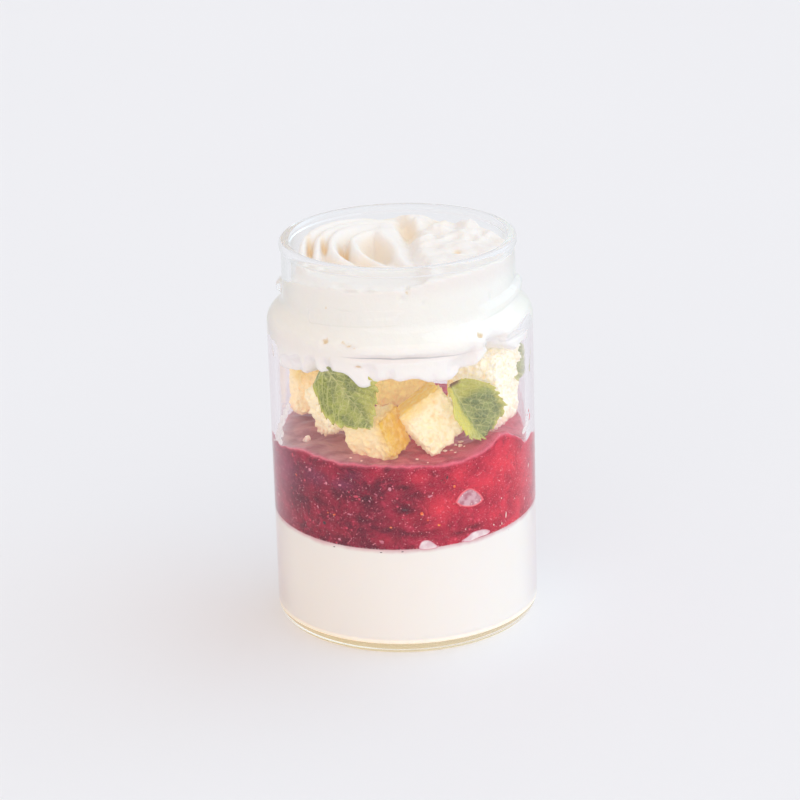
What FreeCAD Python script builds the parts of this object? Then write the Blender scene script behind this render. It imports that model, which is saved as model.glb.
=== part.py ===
"""Layered dessert set in a wide-mouthed glass jar, millimetres, +Z up.

The origin is the centre of the circle that the jar stands on. From the bottom up the jar
holds set cream, berry compote, loose cubes of sponge with mint leaves, and whipped cream
with a rope of cream piped round its top. Every piece is a solid of its own, cut to the
inside of the jar and to the pieces that it lies against.
"""
import FreeCAD, Part
import math
import os

from FreeCAD import Placement, Rotation, Vector

# ---------------------------------------------------------------- driving dimensions
# Glass jar: straight body, short round shoulder, tall neck for a deep twist-off lid.
jar_height = 113.7
body_radius = 38.0
wall = 2.5
neck_radius = 33.2
shoulder_corner = 92.4          # height where body and shoulder would meet if left sharp
neck_foot = 95.8                # height where shoulder and neck would meet if left sharp
shoulder_radius = 5.0           # outer rounding of those two corners
neck_foot_radius = 3.0
bead_radius = 33.7              # thickened lip of the mouth
bead_height = 2.6
lip_radius = 1.15
heel_radius = 5.0
floor_thickness = 3.4
push_up = 1.5                   # hollow under the floor, inside the standing ring
standing_ring = 30.0
corner_radius = 4.0             # between the floor and the wall, inside

# Lid lugs: four short sloping ridges round the neck.
lug_count = 4
lug_half_height = 1.75
lug_reach = 1.9                 # how far the crest stands out from the neck
lug_root = neck_radius - 1.0    # how deep its foot sits in the glass
lug_end_radius = 1.2
lug_height = 98.6
lug_arc = 52.0                  # degrees of the neck that one lug covers
lug_slope = 3.8                 # degrees, rising to the right
first_lug = 66.0                # degrees from +X

# Set cream: its top is a little out of level, as it cooled.
set_cream_top = 34.4
set_cream_fall_right = 0.012
set_cream_fall_back = 0.045

# Compote and whipped cream: a level, and mounds or hollows on it.
# Each mound is (x, y, height, spread).
compote_top = 57.6
compote_mounds = [
    (-24.5, -22.0, 1.0, 7.0),
    (-31.5, -11.5, -1.2, 5.0),
    (8.0, -33.0, -0.8, 6.0),
    (26.0, -22.5, 4.2, 7.0),
    (32.0, -12.5, -2.0, 4.0),
    (33.5, -2.0, -2.4, 7.0),
    (-4.0, 12.0, 1.6, 12.0),
]
cream_underside = 82.3
cream_mounds = [
    (-31.0, -16.0, -3.2, 8.0),
    (-15.5, -31.0, 1.4, 4.0),
    (-11.0, -33.0, -2.6, 3.6),
    (10.5, -33.0, -1.8, 5.5),
    (24.5, -23.5, 5.2, 8.0),
    (31.0, -12.0, 2.0, 7.0),
    (0.0, 14.0, -3.0, 14.0),
]

# Top of the whipped cream: low under the piped rope, high and rippled where it was spread.
cream_bed = 104.0
cream_spread = 110.6
spread_starts = -3.0            # x where the spread part begins to rise
spread_ends = 9.0
ripple_height = 0.7
ripple_length = 9.0
edge_fall = 3.2                 # how far the cream sinks towards the glass
edge_width = 3.5

# Piped rope: a star-shaped section swept round the mouth, turning slowly as it goes.
rope_lobes = 12
rope_outer = 9.4
rope_inner = 7.2
rope_circle = 19.3              # radius of the circle that its middle follows
rope_height = 103.4
rope_start = 52.0               # degrees from +X
rope_end = 318.0
rope_turn = -30.0               # degrees that the section turns on the way
rope_sections = 9

# Sponge cubes: (size across, size deep, size high), centre, (yaw, pitch, roll) in degrees.
sponge_edge = 0.9
sponge_cubes = [
    ((12.0, 11.5, 13.0), (-26.2, 6.8, 66.4), (18.0, 6.0, -8.0)),
    ((13.5, 13.8, 14.0), (-17.8, -8.5, 67.2), (27.7, -10.9, -28.2)),
    ((13.6, 11.0, 12.6), (-7.6, -23.4, 63.0), (-33.0, -14.0, 13.0)),
    ((15.0, 13.0, 14.0), (-1.5, 3.0, 70.8), (24.0, 8.0, 10.0)),
    ((14.8, 14.2, 13.7), (7.6, -20.3, 65.8), (-6.6, 53.0, -22.0)),
    ((15.0, 15.6, 23.0), (22.8, -9.5, 73.0), (-31.0, 4.0, 4.0)),
]
sponge_to_glass = 0.15          # what keeps a cube off the glass

# Mint leaves: (length, width, teeth on a side, fold), tip, way to the stem, way it faces.
leaf_thickness = 0.55
leaf_tooth = 0.55
leaf_curl = 0.006               # how fast the blade bends along its length, per mm
mint_leaves = [
    ((25.0, 16.0, 8, 0.36), (-7.7, -31.2, 67.9), (-10.9, 3.5, 15.0), (-0.4, -1.0, 0.3)),
    ((18.5, 16.5, 7, 0.70), (22.0, -22.8, 60.2), (-8.8, 1.0, 16.0), (1.0, -1.0, 0.15)),
    ((11.0, 6.5, 4, 0.25), (32.3, -9.0, 73.0), (-0.6, 2.0, 9.0), (0.2, -1.0, 0.1)),
]


# ---------------------------------------------------------------- small helpers
def turned(points):
    """Solid of revolution round Z from (radius, height) corners."""
    outline = [Vector(radius, 0, height) for radius, height in points]
    face = Part.Face(Part.makePolygon(outline + outline[:1]))
    return face.revolve(Vector(0, 0, 0), Vector(0, 0, 1), 360)


def rounded_at(solid, rings):
    """Round the circular edges at each (radius, height) by the given fillet radius."""
    for radius, height, fillet in rings:
        edges = []
        for edge in solid.Edges:
            circle = edge.Curve
            if not isinstance(circle, Part.Circle) or not edge.isClosed():
                continue
            near = abs(circle.Radius - radius) < 0.01 and abs(circle.Center.z - height) < 0.01
            if near:
                edges.append(edge)
        solid = solid.makeFillet(fillet, edges)
    return solid


def mounded(level, mounds, x, y):
    """Height at (x, y) of a level that carries soft mounds and hollows."""
    height = level
    for mound_x, mound_y, rise, spread in mounds:
        distance = math.hypot(x - mound_x, y - mound_y)
        height += rise * math.exp(-(distance / spread) ** 2)
    return height


def smooth_step(value, start, end):
    """0 before start, 1 after end, and a smooth rise between."""
    part = min(max((value - start) / (end - start), 0.0), 1.0)
    return part * part * (3 - 2 * part)


def above(height_at, columns):
    """Everything above a surface given as a function of x and y, over the whole jar."""
    half_side = body_radius + 4
    grid = []
    for row in range(columns):
        x = half_side * (2 * row / (columns - 1) - 1)
        line = []
        for column in range(columns):
            y = half_side * (2 * column / (columns - 1) - 1)
            line.append(Vector(x, y, height_at(x, y)))
        grid.append(line)
    surface = Part.BSplineSurface()
    surface.interpolate(grid)
    return surface.toShape().extrude(Vector(0, 0, 2 * jar_height))


def one_solid(shape):
    """The largest solid of a result."""
    return max(shape.Solids, key=lambda solid: solid.Volume)


# ---------------------------------------------------------------- glass jar
def jar_outside():
    """The outer form: standing ring, round heel, straight body, shoulder, neck and bead."""
    bead_foot = jar_height - bead_height
    outline = turned([
        (0, push_up),
        (standing_ring, 0),
        (body_radius, 0),
        (body_radius, shoulder_corner),
        (neck_radius, neck_foot),
        (neck_radius, bead_foot),
        (bead_radius, bead_foot + bead_radius - neck_radius),
        (bead_radius, jar_height),
        (0, jar_height),
    ])
    return rounded_at(outline, [
        (body_radius, 0, heel_radius),
        (body_radius, shoulder_corner, shoulder_radius),
        (neck_radius, neck_foot, neck_foot_radius),
        (bead_radius, jar_height, lip_radius),
    ])


def jar_inside():
    """The space in the jar, which every layer is cut from: the outer form less the wall."""
    bore = body_radius - wall
    mouth = neck_radius - wall
    shoulder_turn = math.atan2(body_radius - neck_radius, neck_foot - shoulder_corner)
    corner_drop = wall * math.tan(shoulder_turn / 2)
    outline = turned([
        (0, floor_thickness + push_up),
        (bore - 2 * corner_radius, floor_thickness),
        (bore, floor_thickness),
        (bore, shoulder_corner - corner_drop),
        (mouth, neck_foot - corner_drop),
        (mouth, jar_height),
        (0, jar_height),
    ])
    return rounded_at(outline, [
        (bore, floor_thickness, corner_radius),
        (bore, shoulder_corner - corner_drop, shoulder_radius - wall),
        (mouth, neck_foot - corner_drop, neck_foot_radius + wall),
    ])


def lug(middle):
    """One lid lug, centred on an angle from +X: a sloping ridge with rounded ends."""
    top = Vector(lug_root, 0, lug_half_height)
    crest = Vector(neck_radius + lug_reach, 0, 0)
    bottom = Vector(lug_root, 0, -lug_half_height)
    back = Part.LineSegment(bottom, top).toShape()
    section = Part.Face(Part.Wire([Part.Arc(top, crest, bottom).toShape(), back]))
    origin = Vector(0, 0, 0)
    up = Vector(0, 0, 1)
    ridge = section.revolve(origin, up, lug_arc)
    ends = []
    for edge in ridge.Edges:
        if isinstance(edge.Curve, Part.Circle) and abs(edge.Curve.Axis.z) < 0.5:
            ends.append(edge)
    ridge = ridge.makeFillet(lug_end_radius, ends)
    ridge.rotate(origin, up, -lug_arc / 2)
    ridge.rotate(origin, Vector(1, 0, 0), lug_slope)
    ridge.rotate(origin, up, middle)
    ridge.translate(Vector(0, 0, lug_height))
    return ridge


def glass_jar(inside):
    """The glass: outer form, hollowed, with a rounded inner lip, and the lugs round its neck."""
    glass = jar_outside().cut(inside)
    glass = rounded_at(glass, [(neck_radius - wall, jar_height, lip_radius)])
    for index in range(lug_count):
        glass = glass.fuse(lug(first_lug + index * 360 / lug_count))
    return one_solid(glass)


# ---------------------------------------------------------------- sponge and mint
def sponge_cube(size):
    """A cut cube of sponge with worn edges, its middle at the origin."""
    across, deep, high = size
    cube = Part.makeBox(across, deep, high, Vector(-across / 2, -deep / 2, -high / 2))
    return cube.makeFillet(sponge_edge, cube.Edges)


def leaf_half_width(along, length, width):
    """Half the width of a leaf at a distance from its tip: pointed tip, full middle."""
    part = min(max(along / length, 0.0), 1.0)
    return width / 2 * math.sin(math.pi * part ** 0.8) ** 0.75


def leaf_outline(length, width, teeth):
    """Closed outline with saw teeth that point to the tip at x = 0."""
    edge = []
    for tooth in range(1, teeth + 1):
        along = length * tooth / (teeth + 1)
        out = leaf_half_width(along, length, width)
        edge.append((along - 0.25 * length / teeth, out + leaf_tooth))
        edge.append((along, out - leaf_tooth / 2))
    right = [Vector(x, y, 0) for x, y in edge]
    left = [Vector(x, -y, 0) for x, y in reversed(edge)]
    return Part.makePolygon([Vector(0, 0, 0)] + right + [Vector(length, 0, 0)] + left + [Vector(0, 0, 0)])


def mint_leaf(length, width, teeth, fold):
    """A toothed leaf, folded up along its midrib and bent along its length, tip at the origin."""
    steps = 7
    grid = []
    for row in range(steps):
        x = length * (1.2 * row / (steps - 1) - 0.1)
        line = []
        for column in range(steps):
            y = width * (1.6 * column / (steps - 1) - 0.8)
            rise = fold * (math.hypot(y, 1.0) - 1.0) + leaf_curl * (x - length / 2) ** 2
            line.append(Vector(x, y, rise))
        grid.append(line)
    blade = Part.BSplineSurface()
    blade.interpolate(grid)
    sheet = blade.toShape().extrude(Vector(0, 0, leaf_thickness))
    cutter = Part.Face(leaf_outline(length, width, teeth)).extrude(Vector(0, 0, 2 * length))
    cutter.translate(Vector(0, 0, -length))
    return one_solid(sheet.common(cutter))


def leaf_in_place(form, tip, stem_way, face_way):
    """The leaf with its tip at a point, its stem one way and its upper side another."""
    leaf = mint_leaf(*form)
    turn = Rotation(Vector(*stem_way), Vector(0, 0, 0), Vector(*face_way), "XZY")
    leaf.Placement = Placement(Vector(*tip), turn)
    return leaf


# ---------------------------------------------------------------- layers
def set_cream_height(x, y):
    return set_cream_top + set_cream_fall_right * x + set_cream_fall_back * y


def compote_height(x, y):
    return mounded(compote_top, compote_mounds, x, y)


def cream_underside_height(x, y):
    return mounded(cream_underside, cream_mounds, x, y)


def cream_top_height(x, y):
    """Bed of the rope on the left, rippled spread cream on the right, sinking at the glass."""
    spread = smooth_step(x, spread_starts, spread_ends)
    wave = 2 * math.pi * (x * 0.5 + y) / ripple_length
    ripple = ripple_height * math.sin(wave) * math.cos(0.6 * wave - x / 4)
    to_glass = smooth_step(math.hypot(x, y), neck_radius - wall - edge_width, neck_radius - wall)
    return cream_bed + spread * (cream_spread - cream_bed + ripple) - edge_fall * to_glass * spread


def rope_section(angle, turn):
    """Star-shaped closed curve across the rope, at an angle round the mouth."""
    outward = Vector(math.cos(angle), math.sin(angle), 0)
    middle = outward * rope_circle + Vector(0, 0, rope_height)
    points = []
    for index in range(2 * rope_lobes):
        reach = rope_outer if index % 2 == 0 else rope_inner
        around = math.pi * index / rope_lobes + turn
        points.append(middle + outward * (reach * math.cos(around)) + Vector(0, 0, reach * math.sin(around)))
    curve = Part.BSplineCurve()
    curve.interpolate(points, True)
    return Part.Wire(curve.toShape())


def piped_rope():
    """The rope: a loft through star sections that turn slowly round the mouth."""
    sections = []
    for index in range(rope_sections):
        part = index / (rope_sections - 1)
        angle = math.radians(rope_start + part * (rope_end - rope_start))
        sections.append(rope_section(angle, math.radians(part * rope_turn)))
    return Part.makeLoft(sections, True, False)


def layers(inside, pushed_in):
    """Set cream, compote and whipped cream, each cut round what is pushed into it."""
    over_set_cream = above(set_cream_height, 4)
    set_cream = inside.cut(over_set_cream)
    compote = inside.common(over_set_cream).cut(above(compote_height, 15))
    whipped = inside.common(above(cream_underside_height, 15)).cut(above(cream_top_height, 21))
    whipped = whipped.fuse(piped_rope())
    for piece in pushed_in:
        compote = compote.cut(piece)
        whipped = whipped.cut(piece)
    return one_solid(set_cream), one_solid(compote), one_solid(whipped)


def main():
    inside = jar_inside()
    clear_of_glass = Part.makeCylinder(body_radius - wall - sponge_to_glass, jar_height)
    pieces = {"jar": glass_jar(inside)}

    leaves = []
    for number, (form, tip, stem_way, face_way) in enumerate(mint_leaves, 1):
        leaf = one_solid(leaf_in_place(form, tip, stem_way, face_way).common(clear_of_glass))
        leaves.append(leaf)
        pieces[f"mint_leaf_{number}"] = leaf

    cubes = []
    for number, (size, centre, (yaw, pitch, roll)) in enumerate(sponge_cubes, 1):
        cube = sponge_cube(size)
        cube.Placement = Placement(Vector(*centre), Rotation(yaw, pitch, roll))
        cube = cube.common(clear_of_glass)
        for earlier in leaves + cubes:
            cube = cube.cut(earlier)
        cube = one_solid(cube)
        cubes.append(cube)
        pieces[f"sponge_cube_{number}"] = cube

    set_cream, compote, whipped = layers(inside, cubes + leaves)
    pieces["panna_cotta"] = set_cream
    pieces["berry_compote"] = compote
    pieces["whipped_cream"] = whipped

    os.makedirs("parts", exist_ok=True)
    for name, solid in pieces.items():
        solid.exportStep(f"parts/{name}.step")
        print(f"{name}: {solid.Volume / 1000:.2f} cm3, {len(solid.Faces)} faces, valid {solid.isValid()}")


main()
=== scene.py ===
"""Panna cotta pot: a glass jar of set cream, berry compote, sponge cubes, mint and piped cream.

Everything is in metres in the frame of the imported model, with +Z up and the jar standing on
z = 0. Sizes below are written in millimetres, times mm. Each part of the dessert has its own
function and its own finish; the glass is made again here with a smooth wall, and every other
solid is replaced by a detailed piece in the same place.
"""

import math
import random

import bpy
import numpy as np
from mathutils import Matrix, Vector, noise


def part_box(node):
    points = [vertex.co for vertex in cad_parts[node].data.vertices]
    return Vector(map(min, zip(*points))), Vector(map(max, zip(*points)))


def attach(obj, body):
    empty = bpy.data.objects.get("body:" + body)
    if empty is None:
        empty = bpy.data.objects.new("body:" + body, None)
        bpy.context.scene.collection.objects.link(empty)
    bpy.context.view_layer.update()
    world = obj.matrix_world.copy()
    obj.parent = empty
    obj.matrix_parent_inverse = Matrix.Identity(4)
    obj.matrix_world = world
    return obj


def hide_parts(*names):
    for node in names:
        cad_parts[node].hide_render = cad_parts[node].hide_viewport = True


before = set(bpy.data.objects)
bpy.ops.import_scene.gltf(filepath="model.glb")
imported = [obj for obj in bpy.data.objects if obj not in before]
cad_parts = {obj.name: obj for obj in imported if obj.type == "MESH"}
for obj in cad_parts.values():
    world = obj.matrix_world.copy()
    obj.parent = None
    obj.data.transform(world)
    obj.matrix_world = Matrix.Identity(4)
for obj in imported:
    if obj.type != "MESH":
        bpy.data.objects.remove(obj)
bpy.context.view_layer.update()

mm = 0.001

# ---------------------------------------------------------------- sizes, millimetres
jar_low, jar_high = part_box("jar")
jar_radius = jar_high.x / mm
jar_height = jar_high.z / mm
wall = 2.5
neck_radius = 33.2
bore = jar_radius - wall                # inside radius of the body
mouth = neck_radius - wall              # inside radius of the neck
shoulder_corner = 92.4
neck_foot = 95.8
floor_thickness = 3.4
push_up = 1.5
foot_radius = 30.0                      # the flat ring that the jar stands on starts here
heel_rounding = 5.0
inner_corner = 2.6                      # rounding between the inside of the wall and the floor
floor_edge = bore - 8.0                 # where the floor starts to rise to the push-up
floor_rounding = 20.0
shoulder_rounding = 5.0                 # outside; the inside runs parallel to it
neck_rounding = 3.0
lip_height = 2.6
lip_reach = 0.5
lip_rounding = 1.15
# The inside corners of the shoulder are this much lower than the outside ones.
inner_drop = wall * math.tan(math.atan2(jar_radius - neck_radius, neck_foot - shoulder_corner) / 2)
into_glass = 0.15                       # how far the food reaches into the wall: no gap shows
round_steps = 256                       # straight pieces that a full circle is made of

lug_height = 98.6
lug_reach = 1.9
lug_half_height = 1.98
lug_half_arc = 26.0
lug_slope = 3.8
first_lug = 66.0
lug_count = 4


# ---------------------------------------------------------------- modelling helpers
def only(obj):
    """Make obj the one selected and active object."""
    bpy.ops.object.select_all(action="DESELECT")
    obj.select_set(True)
    bpy.context.view_layer.objects.active = obj


def named(name):
    """The object that was just added, with its name."""
    obj = bpy.context.object
    obj.name = name
    obj.data.name = name
    return obj


def points_of(obj):
    """Vertex places as an array, in millimetres."""
    places = np.empty(len(obj.data.vertices) * 3)
    obj.data.vertices.foreach_get("co", places)
    return places.reshape(-1, 3) / mm


def normals_of(obj):
    """Vertex normals as an array."""
    directions = np.empty(len(obj.data.vertices) * 3)
    obj.data.vertices.foreach_get("normal", directions)
    return directions.reshape(-1, 3)


def move_points(obj, places):
    """Put the vertices at these places, in millimetres."""
    obj.data.vertices.foreach_set("co", (places * mm).ravel())
    obj.data.update()


def modified(obj, kind, **settings):
    """Add one modifier with its settings and apply it."""
    only(obj)
    modifier = obj.modifiers.new(kind.title(), kind)
    for name, value in settings.items():
        setattr(modifier, name, value)
    bpy.ops.object.modifier_apply(modifier=modifier.name)


def joined(name, pieces):
    """Several meshes as one object."""
    only(pieces[0])
    for piece in pieces:
        piece.select_set(True)
    bpy.ops.object.join()
    return named(name)


def smooth(obj, angle=180):
    """Shade smooth, but keep edges sharper than angle degrees."""
    only(obj)
    bpy.ops.object.shade_smooth_by_angle(angle=math.radians(angle))


def rounded(corners, step=14.0):
    """Outline through (radius, height, rounding) corners: each rounding becomes an arc."""
    places = [np.array(corner[:2], float) for corner in corners]
    outline = [places[0]]
    for before, corner, after, (_, _, rounding) in zip(places, places[1:], places[2:], corners[1:]):
        if not rounding:
            outline.append(corner)
            continue
        back = (before - corner) / np.linalg.norm(before - corner)
        ahead = (after - corner) / np.linalg.norm(after - corner)
        half = math.acos(np.clip(back @ ahead, -1, 1)) / 2
        middle_way = (back + ahead) / np.linalg.norm(back + ahead)
        middle = corner + middle_way * rounding / math.sin(half)
        start = corner + back * rounding / math.tan(half) - middle
        end = corner + ahead * rounding / math.tan(half) - middle
        sweep = math.pi - 2 * half
        count = max(2, round(math.degrees(sweep) / step))
        for index in range(count + 1):
            share = index / count
            turned = math.sin((1 - share) * sweep) * start + math.sin(share * sweep) * end
            outline.append(middle + turned / math.sin(sweep))
    outline.append(places[-1])
    return outline


def divided(outline, spacing, low, high):
    """The outline with points added on the steep runs between two heights, spacing apart."""
    fine = [outline[0]]
    for start, end in zip(outline, outline[1:]):
        run = np.linalg.norm(end - start)
        between = low < (start[1] + end[1]) / 2 < high
        count = max(1, math.ceil(run / spacing)) if between else 1
        for index in range(1, count + 1):
            fine.append(start + (end - start) * index / count)
    return fine


def curve_through(points, step=0.35):
    """A smooth curve through points, as closely spaced places along it."""
    points = np.array(points, float)
    ends = np.vstack([2 * points[0] - points[1], points, 2 * points[-1] - points[-2]])
    places = []
    for before, start, end, after in zip(ends, ends[1:], ends[2:], ends[3:]):
        count = max(2, math.ceil(np.linalg.norm(end - start) / step))
        for share in np.arange(count)[:, None] / count:
            places.append(0.5 * (2 * start + (end - before) * share
                                 + (2 * before - 5 * start + 4 * end - after) * share ** 2
                                 + (3 * start - before - 3 * end + after) * share ** 3))
    return np.array(places + [points[-1]])


def spun(name, outline, steps=round_steps):
    """A body of revolution: one point extruded along the outline, then spun about Z."""
    bpy.ops.object.select_all(action="DESELECT")
    bpy.ops.mesh.primitive_plane_add(size=mm)
    obj = named(name)
    bpy.ops.object.mode_set(mode="EDIT")
    bpy.ops.mesh.merge(type="CENTER")
    here = outline[0]
    bpy.ops.transform.translate(value=(here[0] * mm, 0, here[1] * mm))
    for there in outline[1:]:
        step = ((there[0] - here[0]) * mm, 0, (there[1] - here[1]) * mm)
        bpy.ops.mesh.extrude_region_move(TRANSFORM_OT_translate={"value": step})
        here = there
    bpy.ops.mesh.select_all(action="SELECT")
    bpy.ops.mesh.spin(steps=steps, angle=2 * math.pi, center=(0, 0, 0), axis=(0, 0, 1))
    bpy.ops.mesh.select_all(action="SELECT")
    bpy.ops.mesh.remove_doubles(threshold=0.004 * mm)
    bpy.ops.mesh.normals_make_consistent(inside=False)
    bpy.ops.object.mode_set(mode="OBJECT")
    return obj


def smooth_step(value, start, end):
    """0 before start, 1 after end, with a smooth rise between, for numbers or arrays."""
    part = np.clip((value - start) / (end - start), 0.0, 1.0)
    return part * part * (3 - 2 * part)


def lumps(places, size, octaves=3, shift=0.0):
    """Fractal noise at each place, about -1 to 1, with lumps of that size in millimetres."""
    moved = places / size + shift
    return np.array([noise.fractal(Vector(place), 1.0, 2.0, octaves) for place in moved])


def from_axis(places):
    """Distance from Z."""
    return np.hypot(places[:, 0], places[:, 1])


def from_front(places):
    """Angle about Z in degrees: 0 at the front, positive to the right."""
    return np.degrees(np.arctan2(places[:, 0], -places[:, 1]))


def on_wall(places, marks, margin=2.5):
    """How strongly soft marks against the glass show at each place. Each mark has an angle
    from the front, a height, a half width, a half height and a strength. Inwards it fades
    out between one and two margins from the neck's wall."""
    angle, radius = from_front(places), from_axis(places)
    strongest = np.zeros(len(places))
    for turn, height, half_width, half_height, strength in marks:
        across = np.radians(angle - turn) * radius / half_width
        up = (places[:, 2] - height) / half_height
        strongest = np.maximum(strongest, strength * np.exp(-(across ** 2 + up ** 2)))
    return strongest * smooth_step(radius, mouth - 2 * margin, mouth - margin)


def keep(obj, name, values):
    """Store one number for each vertex, for the finish to read."""
    obj.data.attributes.new(name, "FLOAT", "POINT").data.foreach_set("value", np.asarray(values, float))


def ball_of(detail, name="ball"):
    """The points of a ball 1 mm in radius, and an object that holds it."""
    bpy.ops.object.select_all(action="DESELECT")
    bpy.ops.mesh.primitive_ico_sphere_add(subdivisions=detail, radius=mm)
    ball = named(name)
    return points_of(ball), ball


def copied(original, places):
    """Another object with its own copy of a mesh, its points moved to these places."""
    copy = bpy.data.objects.new(original.name, original.data.copy())
    bpy.context.scene.collection.objects.link(copy)
    move_points(copy, places)
    return copy


def on_glass(ball, turn, height, half_width, half_height, lean=0.0, depth=0.3):
    """The points of a ball flattened into a drop against the inside of the glass."""
    lean = math.radians(lean)
    right, up = ball[:, 0] * half_width, ball[:, 2] * half_height
    across = right * math.cos(lean) - up * math.sin(lean)
    rise = right * math.sin(lean) + up * math.cos(lean)
    reach = bore - ball[:, 1] * depth
    angle = math.radians(turn) + across / bore
    return np.column_stack([reach * np.sin(angle), -reach * np.cos(angle), height + rise])


# ---------------------------------------------------------------- materials
class Value:
    """A number or colour socket. Arithmetic on numbers adds the Math nodes for it."""

    def __init__(self, paint, socket):
        self.paint = paint
        self.socket = socket

    def math(self, operation, *values):
        return self.paint.add("ShaderNodeMath", 0, {"operation": operation}, values)

    def __add__(self, other):
        return self.math("ADD", self, other)

    def __sub__(self, other):
        return self.math("SUBTRACT", self, other)

    def __mul__(self, other):
        return self.math("MULTIPLY", self, other)

    def __rsub__(self, other):
        return self.math("SUBTRACT", other, self)

    __radd__ = __add__
    __rmul__ = __mul__

    def at_least(self, other):
        return self.math("MAXIMUM", self, other)

    def at_most(self, other):
        return self.math("MINIMUM", self, other)

    def size(self):
        return self.math("ABSOLUTE", self)

    def between(self, start, end, low=0.0, high=1.0):
        """Smooth rise from low to high as this value goes from start to end."""
        return self.paint.add("ShaderNodeMapRange", 0, {"interpolation_type": "SMOOTHSTEP"},
                              (self, start, end, low, high))


class Nodes:
    """A node tree, of a material or of the surroundings."""

    def __init__(self, owner, output):
        owner.use_nodes = True
        self.tree = owner.node_tree
        self.surface = self.tree.nodes[output].inputs["Surface"]

    def feed(self, socket, value):
        """Give a socket a plain value, or link it to a Value."""
        if isinstance(value, Value):
            self.tree.links.new(value.socket, socket)
        else:
            socket.default_value = value

    def add(self, kind, output, settings=None, sockets=()):
        """Add any node: its settings first, then sockets as a list or by name."""
        node = self.tree.nodes.new(kind)
        for name, value in (settings or {}).items():
            setattr(node, name, value)
        pairs = sockets.items() if isinstance(sockets, dict) else enumerate(sockets)
        for key, value in pairs:
            self.feed(node.inputs[key], value)
        return Value(self, node.outputs[output])

    def over(self, share, below, above):
        """One shader over another."""
        return self.add("ShaderNodeMixShader", 0, None, [share, below, above])


class Finish(Nodes):
    """One node material with its Principled shader."""

    def __init__(self, name, **plain):
        self.material = bpy.data.materials.new(name)
        super().__init__(self.material, "Material Output")
        self.shader = self.tree.nodes["Principled BSDF"]
        self.material.cycles.emission_sampling = "NONE"
        for socket, value in plain.items():
            self.set(socket, value)

    def set(self, socket, value):
        """Feed one of the Principled shader's sockets: Base_Color is Base Color."""
        self.feed(self.shader.inputs[socket.replace("_", " ")], value)

    def place(self):
        """Where the shaded point is, in millimetres."""
        metres = self.add("ShaderNodeTexCoord", "Object")
        return self.add("ShaderNodeVectorMath", "Vector", {"operation": "SCALE"},
                        {"Vector": metres, "Scale": 1 / mm})

    def axes(self, vector):
        """The three parts of a vector."""
        split = self.add("ShaderNodeSeparateXYZ", 0, None, [vector]).socket.node
        return [Value(self, socket) for socket in split.outputs]

    def stretched(self, vector, along):
        """A vector with each part multiplied."""
        return self.add("ShaderNodeVectorMath", "Vector", {"operation": "MULTIPLY"}, [vector, along])

    def cloud(self, size, detail=3.0, place=None, roughness=0.5, bent=0.0):
        """Soft noise, 0 to 1, with lumps of a size in millimetres."""
        return self.add("ShaderNodeTexNoise", "Fac", None, {
            "Vector": place or self.place(), "Scale": 1 / size, "Detail": detail,
            "Roughness": roughness, "Distortion": bent})

    def cells(self, size, feature="F1", place=None):
        """Cell pattern with cells of a size in millimetres."""
        return self.add("ShaderNodeTexVoronoi", "Distance", {"feature": feature}, {
            "Vector": place or self.place(), "Scale": 1 / size})

    def attribute(self, name):
        return self.add("ShaderNodeAttribute", "Fac", {"attribute_name": name})

    def mix(self, share, first, second):
        """One colour over another. A colour may be given by its three screen values."""
        node = self.tree.nodes.new("ShaderNodeMix")
        node.data_type = "RGBA"
        for index, value in ((0, share), (6, first), (7, second)):
            if isinstance(value, tuple) and len(value) == 3:
                value = shade(*value)
            self.feed(node.inputs[index], value)
        return Value(self, node.outputs[2])

    def bump(self, height, depth, strength=1.0):
        """Feed the surface normal with a height, whose full rise is depth in millimetres."""
        normal = self.add("ShaderNodeBump", "Normal", None, {
            "Height": height, "Distance": depth * mm, "Strength": strength})
        self.set("Normal", normal)


def shade(red, green, blue):
    """A colour from its screen values, 0 to 255, as Blender's nodes take it."""
    parts = []
    for screen in (red / 255, green / 255, blue / 255):
        parts.append(screen / 12.92 if screen <= 0.04045 else ((screen + 0.055) / 1.055) ** 2.4)
    return (*parts, 1.0)


def painted(obj, finish):
    """Give obj this finish and no other."""
    obj.data.materials.clear()
    obj.data.materials.append(finish.material)


# ---------------------------------------------------------------- camera, floor and light
camera_distance = 870.13
camera_height_angle = 19.526            # degrees above level
camera_roll = -1.741
camera_aim = Vector((-0.67, 0, 64.11))
camera_lens = 135.93                    # mm of focal length on a 36 mm wide sensor


def camera():
    """The camera at its viewing angle, aimed at the middle of the jar and slightly rolled."""
    rise = math.radians(camera_height_angle)
    roll = math.radians(camera_roll)
    ahead = Vector((0, math.cos(rise), -math.sin(rise)))
    side = Vector((1, 0, 0))
    up = side.cross(ahead)
    right = math.cos(roll) * side + math.sin(roll) * up
    top = -math.sin(roll) * side + math.cos(roll) * up
    bpy.ops.object.camera_add()
    obj = bpy.context.object
    obj.data.lens = camera_lens
    obj.data.sensor_width = 36
    placing = Matrix((right, top, -ahead)).transposed().to_4x4()
    placing.translation = (camera_aim - ahead * camera_distance) * mm
    obj.matrix_world = placing
    bpy.context.scene.camera = obj


def floor():
    """A wide pale table top with a soft, very slight unevenness in its paint."""
    bpy.ops.object.select_all(action="DESELECT")
    bpy.ops.mesh.primitive_grid_add(x_subdivisions=4, y_subdivisions=4, size=6)
    obj = named("table_top")
    finish = Finish("pale_table", Roughness=0.6, Specular_IOR_Level=0.2)
    drift = finish.cloud(420.0, 2.0)
    finish.set("Base_Color", finish.mix(drift, (236, 234, 238), (239, 237, 241)))
    finish.bump(finish.cloud(3.0, 3.0), 0.02)
    painted(obj, finish)


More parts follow.
